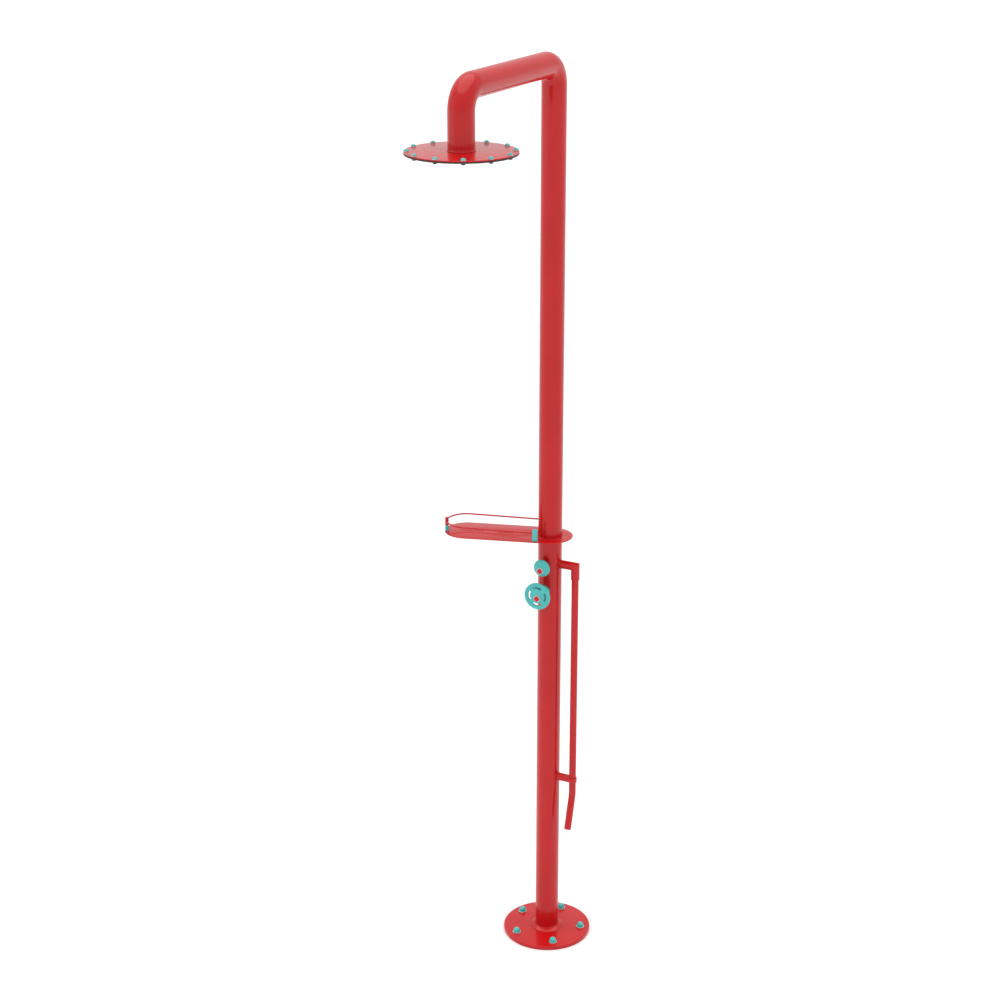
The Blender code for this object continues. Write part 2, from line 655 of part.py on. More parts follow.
def build_foot_valve():
    axis = add_empty("knob_axis", (0.0, 0.0, FOOT_Z), FRONT)
    origin = (0.0, 0.0, 0.0)
    plug = prism("foot_valve_plug", PLUG_RADIUS, PLUG_REAR, PLUG_FRONT, BRASS, origin, parent=axis, sides=20)
    drill(plug, "plug_port", PLUG_PORT, -0.012, 0.012, origin, FRONT, axis, 12)
    prism("foot_spindle", SPINDLE_RADIUS, PLUG_FRONT + GAP, KNOB_FRONT, STEEL, origin, parent=axis, sides=16)
    neck_rear = BODY_RADIUS + NECK_SETBACK
    turned("foot_bonnet", ((SPINDLE_BORE, FOOT_BONNET_FRONT), (0.0095, FOOT_BONNET_FRONT),
                           (FOOT_BONNET_NECK, FOOT_BONNET_FRONT - 0.0015),
                           (FOOT_BONNET_NECK, neck_rear), (FOOT_CHAMBER_RADIUS - GAP, neck_rear),
                           (FOOT_CHAMBER_RADIUS - GAP, FOOT_BONNET_REAR),
                           (SPINDLE_BORE, FOOT_BONNET_REAR)),
           TEAL, origin, parent=axis, steps=20)
    dome = dome_profile(KNOB_RADIUS, KNOB_EQUATOR, KNOB_FRONT, 4)
    profile = [(SPINDLE_BORE, KNOB_FRONT)] + dome[1:]
    profile += [(KNOB_RADIUS - 0.002, KNOB_REAR), (SPINDLE_BORE, KNOB_REAR)]
    turned("foot_knob", profile, TEAL, origin, parent=axis, steps=24)
    build_mark("foot_knob_mark", KNOB_FRONT, KNOB_MARK_DROP, axis)


# ---------------------------------------------------------- pipes and outlet
def build_foot_outlet():
    socket_wall = SOCKET_RADIUS - FOOT_PIPE_RADIUS - GAP
    corners = ((BODY_RADIUS + GAP, 0.0, FOOT_Z), (FOOT_PIPE_X, 0.0, FOOT_Z), (FOOT_PIPE_X, 0.0, SOCKET_END_Z))
    mitred_tube("foot_outlet_elbow", corners, SOCKET_RADIUS, socket_wall, RED)
    corners = ((FOOT_PIPE_X, 0.0, FOOT_PIPE_TOP), (FOOT_PIPE_X, 0.0, FOOT_PIPE_KNEE_Z),
               (FOOT_PIPE_X, *FOOT_PIPE_END))
    tube("foot_pipe", rounded_path(corners, FOOT_PIPE_BEND, 5), FOOT_PIPE_RADIUS, FOOT_PIPE_WALL, RED)

    bracket = prism("foot_pipe_bracket", BRACKET_RADIUS, 0.0, FOOT_PIPE_X - 0.004, RED,
                    (0.0, 0.0, BRACKET_Z), SIDEWAYS)
    half_eye = BRACKET_EYE_HEIGHT / 2
    spot = (FOOT_PIPE_X, 0.0, BRACKET_Z)
    eye = prism("bracket_eye", BRACKET_EYE_RADIUS, -half_eye, half_eye, None, spot)
    combine(bracket, eye, "UNION")
    drill(bracket, "bracket_bore", FOOT_PIPE_RADIUS + BRACKET_CLEARANCE, -0.02, 0.02, spot)
    drill(bracket, "bracket_saddle", PIPE_RADIUS + GAP, -0.02, 0.02, (0.0, 0.0, BRACKET_Z), sides=32)


def build_supply():
    ring("inlet_socket", INLET_RADIUS, INLET_RADIUS - INLET_WALL, -INLET_REACH,
         -(SUPPLY_START_Y + GAP), STEEL, (0.0, 0.0, INLET_Z), FRONT, steps=24)
    corners = ((0.0, SUPPLY_START_Y, INLET_Z), (0.0, 0.0, INLET_Z), (0.0, 0.0, BODY_BOTTOM - GAP))
    tube("supply_pipe", rounded_path(corners, SUPPLY_BEND, 5), SUPPLY_RADIUS, SUPPLY_WALL, STEEL,
         resolution=4)


clear_scene()
PARTS = new_collection("emergency_safety_shower")
CUTTERS = new_collection("cutters")
RED = principled("red_paint", (0.533, 0.031, 0.032), 0.25, 0.0)
TEAL = principled("teal_plastic", (0.098, 0.445, 0.429), 0.35, 0.0)
STEEL = principled("bright_steel", (0.62, 0.62, 0.60), 0.30, 1.0)
DARK_STEEL = principled("dark_spray_plate", (0.09, 0.075, 0.075), 0.45, 0.6)
RUBBER = principled("black_rubber", (0.03, 0.03, 0.03), 0.70, 0.0)
BRASS = principled("brass", (0.60, 0.42, 0.16), 0.35, 1.0)

build_base()
build_column()
build_gooseneck()
build_head()
build_shelf()
build_valve_body()
build_shower_valve()
build_foot_valve()
build_foot_outlet()
build_supply()
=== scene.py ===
"""The looks of the emergency drench shower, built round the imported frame.

Metres, +Z up, origin on the floor under the column, arm along -Y.
"""

import json
import math

import bmesh
import bpy
from mathutils import Matrix, Quaternion, Vector


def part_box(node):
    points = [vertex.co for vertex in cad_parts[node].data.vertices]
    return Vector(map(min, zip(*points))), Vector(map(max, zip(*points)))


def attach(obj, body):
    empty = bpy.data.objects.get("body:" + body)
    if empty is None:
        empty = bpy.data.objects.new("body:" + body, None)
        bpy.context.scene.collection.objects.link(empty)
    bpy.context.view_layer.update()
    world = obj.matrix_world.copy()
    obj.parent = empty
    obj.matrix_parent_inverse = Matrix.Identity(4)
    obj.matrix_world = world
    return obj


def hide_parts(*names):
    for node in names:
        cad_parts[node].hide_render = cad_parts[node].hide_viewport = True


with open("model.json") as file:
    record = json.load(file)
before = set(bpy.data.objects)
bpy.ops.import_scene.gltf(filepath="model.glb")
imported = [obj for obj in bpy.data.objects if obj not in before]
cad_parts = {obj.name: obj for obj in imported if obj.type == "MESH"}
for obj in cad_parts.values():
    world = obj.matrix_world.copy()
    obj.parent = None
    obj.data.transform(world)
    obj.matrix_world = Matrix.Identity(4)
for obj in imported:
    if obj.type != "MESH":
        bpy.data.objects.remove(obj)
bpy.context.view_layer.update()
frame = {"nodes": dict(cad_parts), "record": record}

# ------------------------------------------------------------ fixed measures
MM = 0.001
FRONT = Matrix.Rotation(math.pi / 2, 4, "X")      # a piece's own Z faces -Y
BEND_RADIUS = 51 * MM
ROUND = 96                                        # sides of the large round pieces
SMALL_ROUND = 48
SHELF_HEADING = math.radians(197.1)
ANCHORS = 5
HEAD_SCREWS = 12
HEAD_SCREW_CIRCLE = 118 * MM
NOZZLE_RINGS = ((0.0, 1), (40 * MM, 6), (80 * MM, 12))
FLARE = 1.0 * MM                                  # how much the drop pipe widens at the head
FLARE_HEIGHT = 7 * MM
ANCHOR_HOLE = 5.5 * MM
ANCHOR_SHANK = 5.0 * MM
HEAD_HOLE = 2.6 * MM
HEAD_SHANK = 2.2 * MM
HEAD_WASHER_RADIUS = 6.7 * MM
HEAD_WASHER_BORE = 2.5 * MM
HEAD_NUT_ACROSS = 8.0 * MM
NOZZLE_HOLE = 3.4 * MM
GASKET_WIDTH = 24 * MM

SHELF_HALF_WIDTH = 57 * MM
SHELF_REACH = 212 * MM                            # to the middle of the far round end
DRAIN_SLOTS = ((95 * MM, 132 * MM), (172 * MM, 229 * MM))
DRAIN_HALF_WIDTH = 2 * MM
WIRE_RADIUS = 2 * MM
WIRE_DROP = 3.7 * MM
GUARD_HALF_WIDTH = 51.5 * MM
POST_AT = 31 * MM
POST_LENGTH = 13 * MM
POST_WIDTH = 4 * MM
LEG_START = POST_AT + 6.8 * MM                    # where the frame's wire starts
END_POST_TURN = math.radians(14)
END_POST_RADIUS = 4.5 * MM
FERRULE_RADIUS = 4.9 * MM

SPINDLE_RADIUS = 4.0 * MM
BONNET_BORE = 4.4 * MM
BONNET_SHANK = 14.5 * MM
BONNET_NECK = 13.0 * MM
NECK_DEPTH = 4.0 * MM                             # how far a bonnet goes into the column's wall
HANDLE_BORE = 4.3 * MM
WHEEL_PLANE = 72 * MM
WHEEL_HUB_FRONT = 74.5 * MM
WHEEL_HUB_REAR = 62 * MM
WHEEL_HALF_RIM = 3.7 * MM
WHEEL_HALF_WEB = 2.0 * MM
WHEEL_SLOT = (19.5 * MM, 25.3 * MM)
WHEEL_SLOT_HALF_SPAN = math.radians(29)
FOOT_NECK = 11.0 * MM

SOCKET_RADIUS = 10.9 * MM
SOCKET_WALL = 1.6 * MM
FOOT_PIPE_RADIUS = 9.0 * MM
FOOT_PIPE_WALL = 1.6 * MM
FOOT_PIPE_KNEE = 420 * MM
FOOT_PIPE_END = (-26.8 * MM, 330 * MM)
FOOT_PIPE_BEND = 60 * MM
BRACKET_RADIUS = 10.2 * MM
BRACKET_EYE = 11.2 * MM
BRACKET_HALF_EYE = 6.5 * MM
BRACKET_BORE = 9.4 * MM
INLET_WALL = 2.6 * MM
THREAD_TURNS = 7
THREAD_PITCH = 1.8 * MM

SKY_LIGHT = 0.85
OVERHEAD_LIGHT = 1.8
OVERHEAD_SPREAD = math.radians(80)
KEY_LIGHT = 12.0
KEY_PLACE = (-3.4, -3.6, 2.8)
KEY_TARGET = (0.0, 0.0, 1.2)
KEY_SIZE = (3.0, 4.0)
FLOOR_GLOW = 0.05
FLOOR_GREY = 0.78
FLOOR_SIZE = 40.0
CAMERA_PLACE = (2.024, -4.243, 2.917)
CAMERA_TILT = math.radians(70.22)
CAMERA_HEADING = math.radians(27.04)
CAMERA_LENS = 71.97


# ------------------------------------------------------------- mesh helpers
def ring_places(radius, count, first):
    angles = [first + math.tau * i / count for i in range(count)]
    return [(radius * math.cos(a), radius * math.sin(a)) for a in angles]


def rounded_path(corners, bend_radius, steps):
    """Straight runs between the corners, with an arc at each inner corner."""
    points = [Vector(corners[0])]
    for before, corner, after in zip(corners, corners[1:], corners[2:]):
        corner = Vector(corner)
        way_in = (corner - Vector(before)).normalized()
        way_out = (Vector(after) - corner).normalized()
        turn = way_in.angle(way_out)
        inward = (way_out - way_in).normalized()
        centre = corner + inward * (bend_radius / math.cos(turn / 2))
        spoke = corner - way_in * (bend_radius * math.tan(turn / 2)) - centre
        axis = way_in.cross(way_out)
        points += [centre + Quaternion(axis, turn * i / steps) @ spoke for i in range(steps + 1)]
    points.append(Vector(corners[-1]))
    return points


def fillet(points, default, closed=False, steps=4):
    """A profile with its corners rounded; a third number in a point is its own radius."""
    count = len(points)
    rounded = []
    for i, point in enumerate(points):
        here = Vector(point[:2])
        radius = point[2] if len(point) > 2 else default
        if radius <= 0.0 or (not closed and i in (0, count - 1)):
            rounded.append(tuple(here))
            continue
        back = Vector(points[i - 1][:2]) - here
        ahead = Vector(points[(i + 1) % count][:2]) - here
        reach = min(radius, back.length * 0.45, ahead.length * 0.45)
        start = here + back.normalized() * reach
        end = here + ahead.normalized() * reach
        for k in range(steps + 1):
            t = k / steps
            rounded.append(tuple(start * (1 - t) ** 2 + here * 2 * t * (1 - t) + end * t ** 2))
    return rounded


def strip(shape, rings, closed_rings, cap_ends=False):
    """Quads between neighbouring rings of vertices."""
    pairs = list(zip(rings, rings[1:]))
    if closed_rings:
        pairs.append((rings[-1], rings[0]))
    for low, high in pairs:
        sides = max(len(low), len(high))
        for i in range(sides):
            k = (i + 1) % sides
            corners = [low[i % len(low)], low[k % len(low)], high[k % len(high)], high[i % len(high)]]
            face = [v for n, v in enumerate(corners) if v not in corners[:n]]
            if len(face) > 2:
                shape.faces.new(face)
    if cap_ends:
        for ring in (rings[0], rings[-1]):
            shape.faces.new(ring)


def mesh_of(shape, name):
    bmesh.ops.recalc_face_normals(shape, faces=shape.faces)
    mesh = bpy.data.meshes.new(name)
    shape.to_mesh(mesh)
    shape.free()
    return mesh


def lathe_mesh(name, profile, sides):
    """A turned solid; a profile that starts off the axis is a closed loop."""
    shape = bmesh.new()
    rings = []
    for radius, height in profile:
        if radius < 1e-7:
            rings.append([shape.verts.new((0.0, 0.0, height))])
            continue
        rings.append([shape.verts.new((x, y, height)) for x, y in ring_places(radius, sides, 0.0)])
    strip(shape, rings, profile[0][0] > 1e-7)
    return mesh_of(shape, name)


def sweep_rings(shape, points, radii, sides):
    """Rings round a path, mitred where the path turns."""
    ways = [(b - a).normalized() for a, b in zip(points, points[1:])]
    side = ways[0].orthogonal().normalized()
    rings = []
    for i, point in enumerate(points):
        before = ways[max(i - 1, 0)]
        after = ways[min(i, len(ways) - 1)]
        plane = (before + after).normalized()
        if i:
            previous = ways[max(i - 2, 0)]
            side = previous.rotation_difference(before) @ side
        up = before.cross(side)
        ring = []
        for x, y in ring_places(radii[i], sides, 0.0):
            spoke = side * x + up * y
            spoke -= before * (spoke.dot(plane) / before.dot(plane))
            ring.append(shape.verts.new(point + spoke))
        rings.append(ring)
    return rings


def sweep_mesh(name, points, radii, sides, inner=None):
    """A solid rod, or with inner radii a hollow pipe."""
    shape = bmesh.new()
    rings = sweep_rings(shape, points, radii, sides)
    if inner is None:
        strip(shape, rings, False, cap_ends=True)
    else:
        rings += reversed(sweep_rings(shape, points, inner, sides))
        strip(shape, rings, True)
    return mesh_of(shape, name)


def piece(name, mesh, material, body, stands_for=(), pose=None):
    """Links a finished mesh, gives it its finish, and hands it to its body."""
    if pose is not None:
        mesh.transform(pose)
    made = bpy.data.objects.new(name, mesh)
    bpy.context.scene.collection.objects.link(made)
    made.data.materials.clear()
    made.data.materials.append(material)
    made.data.shade_smooth()
    made.data.set_sharp_from_angle(angle=math.radians(38))
    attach(made, body)
    if stands_for:
        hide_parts(*stands_for)
    return made


def bake(source):
    """The mesh of an object with its modifiers or curve evaluated; the object goes."""
    graph = bpy.context.evaluated_depsgraph_get()
    mesh = bpy.data.meshes.new_from_object(source.evaluated_get(graph))
    bpy.data.objects.remove(source, do_unlink=True)
    shape = bmesh.new()
    shape.from_mesh(mesh)
    bmesh.ops.remove_doubles(shape, verts=shape.verts, dist=1e-6)
    return mesh_of(shape, mesh.name)


def cut(mesh, cutter, operation="DIFFERENCE"):
    """mesh less the cutter's mesh."""
    target = bpy.data.objects.new("work", mesh)
    tool = bpy.data.objects.new("tool", cutter)
    for item in (target, tool):
        bpy.context.scene.collection.objects.link(item)
    step = target.modifiers.new("cut", "BOOLEAN")
    step.operation = operation
    step.solver = "EXACT"
    step.object = tool
    result = bake(target)
    bpy.data.objects.remove(tool, do_unlink=True)
    return result


def pins_mesh(places, radius, low, high, sides=24):
    """Separate upright cylinders, as one cutter."""
    shape = bmesh.new()
    for x, y in places:
        pin = bmesh.ops.create_cone(shape, cap_ends=True, segments=sides,
                                    radius1=radius, radius2=radius, depth=high - low)
        bmesh.ops.translate(shape, vec=(x, y, (low + high) / 2), verts=pin["verts"])
    return mesh_of(shape, "pins")


def soft_box(name, size, bevel, turn=0.0):
    """A box with rounded edges, its middle at the origin."""
    shape = bmesh.new()
    bmesh.ops.create_cube(shape, size=1.0)
    bmesh.ops.scale(shape, vec=size, verts=shape.verts)
    bmesh.ops.bevel(shape, geom=shape.edges[:], offset=bevel, segments=4, profile=0.5,
                    affect="EDGES", clamp_overlap=True)
    bmesh.ops.rotate(shape, matrix=Matrix.Rotation(turn, 3, "Z"), verts=shape.verts)
    return mesh_of(shape, name)


def hex_mesh(name, across, low, high, bore):
    """A hexagon nut with chamfered corners."""
    radius = across / math.sqrt(3)
    mesh = pins_mesh([(0.0, 0.0)], radius, low, high, 6)
    chamfer = radius * 0.12
    envelope = lathe_mesh("envelope", fillet([(0.0, high), (radius - 1.3 * chamfer, high, 0.0),
                                              (radius * 1.001, high - chamfer, 0.0),
                                              (radius * 1.001, low + chamfer, 0.0),
                                              (radius - 1.3 * chamfer, low, 0.0), (0.0, low)], 0.0), 48)
    mesh = cut(mesh, envelope, "INTERSECT")
    if bore:
        mesh = cut(mesh, pins_mesh([(0.0, 0.0)], bore, low - MM, high + MM, 32))
    mesh.name = name
    return mesh


def at(x, y, z):
    return Matrix.Translation((x, y, z))


# ---------------------------------------------------------------- materials
class Finish:
    """A Principled material whose colour, gloss and relief come from nodes."""

    def __init__(self, name, roughness, metallic=0.0, **sockets):
        self.material = bpy.data.materials.new(name + "_finish")
        self.material["slot"] = name
        self.material.use_nodes = True
        self.tree = self.material.node_tree
        self.shader = self.tree.nodes["Principled BSDF"]
        self.shader.inputs["Metallic"].default_value = metallic
        self.shader.inputs["Roughness"].default_value = roughness
        for socket, value in sockets.items():
            self.shader.inputs[socket.replace("_", " ")].default_value = value
        self.coordinates = self.tree.nodes.new("ShaderNodeTexCoord").outputs["Object"]

    def stretched(self, scale):
        mapping = self.tree.nodes.new("ShaderNodeMapping")
        mapping.inputs["Scale"].default_value = scale
        self.tree.links.new(self.coordinates, mapping.inputs["Vector"])
        return mapping.outputs["Vector"]

    def noise(self, scale, detail=3.0, stretch=None):
        made = self.tree.nodes.new("ShaderNodeTexNoise")
        made.inputs["Scale"].default_value = scale
        made.inputs["Detail"].default_value = detail
        vector = self.stretched(stretch) if stretch else self.coordinates
        self.tree.links.new(vector, made.inputs["Vector"])
        return made.outputs["Fac"]

    def ramp(self, factor, stops):
        made = self.tree.nodes.new("ShaderNodeValToRGB")
        ramp = made.color_ramp
        while len(ramp.elements) < len(stops):
            ramp.elements.new(0.5)
        for element, (place, color) in zip(ramp.elements, stops):
            element.position = place
            element.color = color if len(color) == 4 else (*color, 1.0)
        self.tree.links.new(factor, made.inputs["Fac"])
        return made.outputs["Color"]

    def colour(self, factor, stops):
        self.tree.links.new(self.ramp(factor, stops), self.shader.inputs["Base Color"])
        return self

    def gloss(self, factor, low, high):
        made = self.tree.nodes.new("ShaderNodeMapRange")
        made.inputs["To Min"].default_value = low
        made.inputs["To Max"].default_value = high
        self.tree.links.new(factor, made.inputs["Value"])
        self.tree.links.new(made.outputs["Result"], self.shader.inputs["Roughness"])
        return self

    def relief(self, factor, depth, strength):
        bump = self.tree.nodes.new("ShaderNodeBump")
        bump.inputs["Strength"].default_value = strength
        bump.inputs["Distance"].default_value = depth
        previous = self.shader.inputs["Normal"]
        if previous.is_linked:
            self.tree.links.new(previous.links[0].from_socket, bump.inputs["Normal"])
        self.tree.links.new(factor, bump.inputs["Height"])
        self.tree.links.new(bump.outputs["Normal"], self.shader.inputs["Normal"])
        return self


def make_finishes():
    red = Finish("red_paint", 0.34, Coat_Weight=0.5, Coat_Roughness=0.07, Specular_IOR_Level=0.15)
    red.colour(red.noise(9.0, 4.0), [(0.30, (0.452, 0.0022, 0.0032)), (0.50, (0.480, 0.0027, 0.0040)),
                                     (0.72, (0.510, 0.0036, 0.0054))])
    red.gloss(red.noise(60.0, 4.0), 0.28, 0.42)
    red.relief(red.noise(420.0, 2.0), 0.03 * MM, 0.20)
    red.relief(red.noise(24.0, 2.0), 0.15 * MM, 0.08)

    teal = Finish("teal_plastic", 0.34, Coat_Weight=0.15, Coat_Roughness=0.2, Specular_IOR_Level=0.4)
    teal.colour(teal.noise(45.0, 3.0), [(0.30, (0.050, 0.400, 0.385)), (0.55, (0.060, 0.440, 0.425)),
                                        (0.80, (0.074, 0.475, 0.460))])
    teal.gloss(teal.noise(120.0, 3.0), 0.28, 0.42)
    teal.relief(teal.noise(1500.0, 2.0), 0.04 * MM, 0.30)

    steel = Finish("bright_steel", 0.28, metallic=0.9)
    steel.colour(steel.noise(150.0, 3.0), [(0.3, (0.62, 0.63, 0.62)), (0.7, (0.76, 0.77, 0.76))])
    steel.gloss(steel.noise(220.0, 4.0, (1.0, 1.0, 9.0)), 0.22, 0.40)
    steel.relief(steel.noise(600.0, 2.0, (1.0, 1.0, 12.0)), 0.03 * MM, 0.25)

    dark = Finish("dark_spray_plate", 0.42, metallic=0.5)
    dark.colour(dark.noise(30.0, 4.0), [(0.3, (0.070, 0.052, 0.052)), (0.7, (0.115, 0.092, 0.090))])
    dark.gloss(dark.noise(90.0, 3.0), 0.34, 0.52)
    dark.relief(dark.noise(900.0, 2.0), 0.04 * MM, 0.30)

    rubber = Finish("black_rubber", 0.65)
    rubber.colour(rubber.noise(80.0, 3.0), [(0.3, (0.022, 0.020, 0.020)), (0.7, (0.045, 0.040, 0.040))])
    rubber.gloss(rubber.noise(140.0, 3.0), 0.55, 0.75)
    rubber.relief(rubber.noise(900.0, 3.0), 0.05 * MM, 0.40)

    brass = Finish("brass", 0.32, metallic=1.0)
    brass.colour(brass.noise(70.0, 3.0), [(0.3, (0.52, 0.34, 0.12)), (0.7, (0.68, 0.48, 0.20))])
    brass.gloss(brass.noise(160.0, 4.0), 0.24, 0.42)
    brass.relief(brass.noise(700.0, 2.0), 0.03 * MM, 0.30)

    made = {}
    for finish in (red, teal, steel, dark, rubber, brass):
        made[finish.material["slot"]] = finish.material
    return made


FINISH = make_finishes()
RED = FINISH["red_paint"]
TEAL = FINISH["teal_plastic"]
STEEL = FINISH["bright_steel"]
DARK = FINISH["dark_spray_plate"]
RUBBER = FINISH["black_rubber"]
BRASS = FINISH["brass"]


def dress_frame():
    """Every CAD node that stays visible gets its slot's finish."""
    slots = {row["node"]: row["material_slot"] for row in frame["record"]["subparts"]}
    for name, node in frame["nodes"].items():
        node.data.materials.clear()
        node.data.materials.append(FINISH[slots[name]])


# ---------------------------------------------------------------- the column
def size_of(node):
    low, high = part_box(node)
    return high - low


def middle_of(node):
    low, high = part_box(node)
    return (low + high) / 2


def weld_ring(name, points, radius, body, ripples):
    """A painted weld bead along a closed line of points, with its ripples."""
    shape = bmesh.new()
    count = len(points)
    rings = []
    for i, point in enumerate(points):
        way = (points[(i + 1) % count] - points[i - 1]).normalized()
        if abs(way.z) < 0.9:
            side = way.cross(Vector((0.0, 0.0, 1.0)).cross(way)).normalized()
        else:
            side = way.orthogonal().normalized()
        up = way.cross(side)
        swell = radius * (1 + 0.10 * math.sin(math.tau * ripples * i / count))
        rings.append([shape.verts.new(point + side * x + up * y)
                      for x, y in ring_places(swell, 12, 0.0)])
    strip(shape, rings, True)
    return piece(name, mesh_of(shape, name), RED, body)


def circle_points(centre, radius, count):
    return [Vector(centre) + Vector((x, y, 0.0)) for x, y in ring_places(radius, count, 0.0)]


def saddle_points(column_radius, branch_radius, height, heading, count):
    """The line where a round branch meets the round column."""
    points = []
    for y, z in ring_places(branch_radius, count, 0.0):
        x = math.sqrt(column_radius ** 2 - y ** 2)
        points.append(Matrix.Rotation(heading, 3, "Z") @ Vector((x, y, height + z)))
    return points


def build_column():
    radius = size_of("column_pipe").x / 2
    arm_z = middle_of("arm_pipe").z
    reach = -middle_of("drop_pipe").y
    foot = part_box("column_pipe")[0].z
    head_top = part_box("drop_pipe")[0].z
    corners = [(0.0, 0.0, foot), (0.0, 0.0, arm_z), (0.0, -reach, arm_z),
               (0.0, -reach, head_top + FLARE_HEIGHT)]
    points = rounded_path(corners, BEND_RADIUS, 28)
    radii = [radius] * len(points)
    flare_steps = 6
    for k in range(1, flare_steps + 1):
        t = k / flare_steps
        points.append(Vector((0.0, -reach, head_top + FLARE_HEIGHT * (1 - t))))
        radii.append(radius + FLARE * t ** 2)
    skin = sweep_mesh("gooseneck", points, radii, ROUND)
    piece("gooseneck", skin, RED, "column",
          ("column_pipe", "column_elbow", "arm_pipe", "head_elbow", "drop_pipe"))
    weld_ring("head_weld", circle_points((0.0, -reach, head_top + 0.6 * MM), radius + FLARE, 240),
              0.5 * MM, "column", 44)


def build_base():
    low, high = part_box("base_flange")
    radius = (high.x - low.x) / 2
    profile = fillet([(0.0, high.z), (radius, high.z), (radius, low.z, 0.6 * MM), (0.0, low.z)], 1.6 * MM)
    bolt = middle_of("anchor_bolt_1")
    circle = math.hypot(bolt.x, bolt.y)
    places = ring_places(circle, ANCHORS, math.pi / 2)
    plate = lathe_mesh("base_plate", profile, 2 * ROUND)
    plate = cut(plate, pins_mesh(places, ANCHOR_HOLE, low.z - MM, high.z + MM))
    piece("base_plate", plate, RED, "column", ("base_flange",))

    low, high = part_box("base_collar")
    outer = (high.x - low.x) / 2
    inner = size_of("column_pipe").x / 2 + 0.2 * MM
    shoulder = [(inner, high.z, 0.0), (inner + 2.0 * MM, high.z),
                (outer - 4.0 * MM, high.z - 2.4 * MM, 3 * MM), (outer, low.z + 1.0 * MM, 1.0 * MM),
                (outer, low.z, 0.0), (inner, low.z, 0.0)]
    piece("base_ring", lathe_mesh("base_ring", fillet(shoulder, 1.0 * MM, closed=True), ROUND),
          RED, "column", ("base_collar",))
    weld_ring("base_weld", circle_points((0.0, 0.0, high.z), inner + 0.6 * MM, 240), 1.2 * MM, "column", 46)
    weld_ring("base_ring_weld", circle_points((0.0, 0.0, low.z), outer + 0.1 * MM, 240), 0.8 * MM,
              "column", 60)

    for number, (x, y) in enumerate(places, start=1):
        low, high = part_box(f"anchor_bolt_{number}")
        wide = size_of(f"anchor_bolt_{number}").x / 2
        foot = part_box(f"anchor_washer_{number}")[1].z + 0.3 * MM
        cap = fillet([(0.0, high.z), (wide * 0.52, high.z - 0.3 * MM, 3.0 * MM),
                      (wide * 0.90, high.z - 4.6 * MM, 2.0 * MM), (wide * 0.93, foot + 1.4 * MM, 0.6 * MM),
                      (wide, foot + 1.2 * MM, 0.4 * MM), (wide, foot, 0.3 * MM), (ANCHOR_SHANK, foot, 0.0),
                      (ANCHOR_SHANK, low.z, 0.3 * MM), (0.0, low.z)], 1.2 * MM)
        piece(f"anchor_cap_{number}", lathe_mesh("anchor_cap", cap, SMALL_ROUND), TEAL, "column",
              (f"anchor_bolt_{number}",), at(x, y, 0.0))
        low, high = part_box(f"anchor_washer_{number}")
        wide = size_of(f"anchor_washer_{number}").x / 2
        disc = fillet([(wide, high.z), (wide, low.z), (ANCHOR_HOLE, low.z), (ANCHOR_HOLE, high.z)],
                      0.4 * MM, closed=True)
        piece(f"anchor_disc_{number}", lathe_mesh("anchor_disc", disc, SMALL_ROUND), STEEL, "column",
              (f"anchor_washer_{number}",), at(x, y, 0.0))


